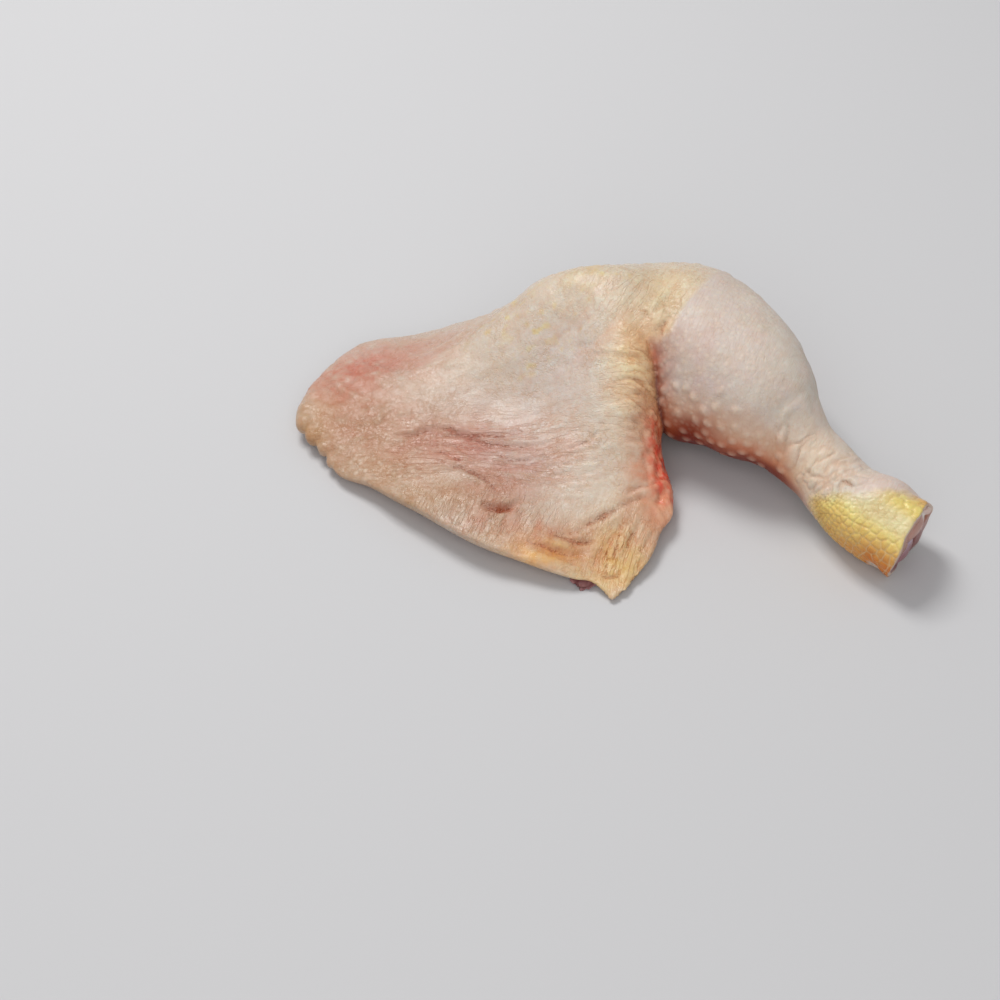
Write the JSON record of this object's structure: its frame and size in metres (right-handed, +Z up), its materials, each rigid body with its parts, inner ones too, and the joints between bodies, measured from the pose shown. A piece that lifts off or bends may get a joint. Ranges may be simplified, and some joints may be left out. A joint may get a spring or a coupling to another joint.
{
  "type": "raw chicken leg",
  "caption": "Raw skin-on chicken leg lying flat: a broad thin-edged thigh, a deep crease, and a plump drumstick cut off below its scaly hock.",
  "frame": {"origin": "middle of the leg's box, on the surface that it lies on", "axes": "+X along the leg from the thigh's thin end towards the hock, +Y from the thigh's near corner towards the knee, +Z up"},
  "size_m": [0.2183, 0.1396, 0.0522],
  "materials": {
    "skin": "moist raw skin, cream to pale pink, yellow on the hock",
    "meat": "moist raw meat",
    "bone": "moist cartilage"
  },
  "bodies": {
    "root": {"leg": "skin", "thigh_meat": "meat", "shank_bone": "bone"}
  },
  "joints": []
}
